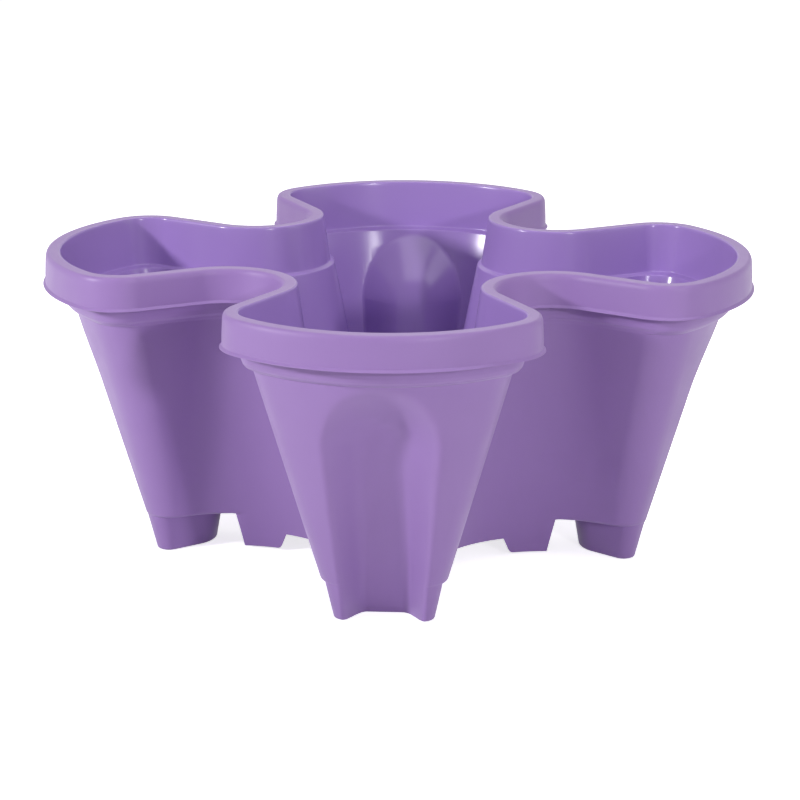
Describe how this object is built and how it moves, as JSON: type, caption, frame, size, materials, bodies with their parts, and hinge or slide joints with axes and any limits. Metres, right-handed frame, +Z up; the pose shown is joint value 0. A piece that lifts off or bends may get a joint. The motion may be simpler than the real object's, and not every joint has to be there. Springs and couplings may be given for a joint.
{
  "type": "stacking planter tower tier",
  "caption": "Clover-shaped stacking tier of a vertical planter tower, with a turned-down rim, slotted feet, a lift-out drain grate and push-in drain plugs.",
  "frame": {"origin": "on the tier's upright centre line, on the plane that the feet stand on", "axes": "+Z up; the lobes point along +X, +Y, -X and -Y; the front lobe of the picture points along -Y"},
  "size_m": [0.3566, 0.3566, 0.154],
  "materials": {
    "tier_plastic": "injection-moulded polypropylene, satin outside and glossy inside",
    "grate_plastic": "injection-moulded polypropylene, satin",
    "plug_plastic": "soft moulded polyethylene, dull"
  },
  "bodies": {
    "tier": {"planter_tier": "tier_plastic"},
    "grate": {"centre_drain_grate": "grate_plastic"},
    "plug_right": {"drain_plug_right": "plug_plastic"},
    "plug_back": {"drain_plug_back": "plug_plastic"},
    "plug_left": {"drain_plug_left": "plug_plastic"},
    "plug_front": {"drain_plug_front": "plug_plastic"}
  },
  "joints": [
    {"name": "grate_lift", "type": "slide", "parent": "tier", "child": "grate", "axis": [0, 0, 1], "range_m": [0, 0.15]},
    {"name": "plug_right_pull", "type": "slide", "parent": "tier", "child": "plug_right", "axis": [0, 0, 1], "range_m": [0, 0.03]},
    {"name": "plug_back_pull", "type": "slide", "parent": "tier", "child": "plug_back", "axis": [0, 0, 1], "range_m": [0, 0.03]},
    {"name": "plug_left_pull", "type": "slide", "parent": "tier", "child": "plug_left", "axis": [0, 0, 1], "range_m": [0, 0.03]},
    {"name": "plug_front_pull", "type": "slide", "parent": "tier", "child": "plug_front", "axis": [0, 0, 1], "range_m": [0, 0.03]}
  ]
}
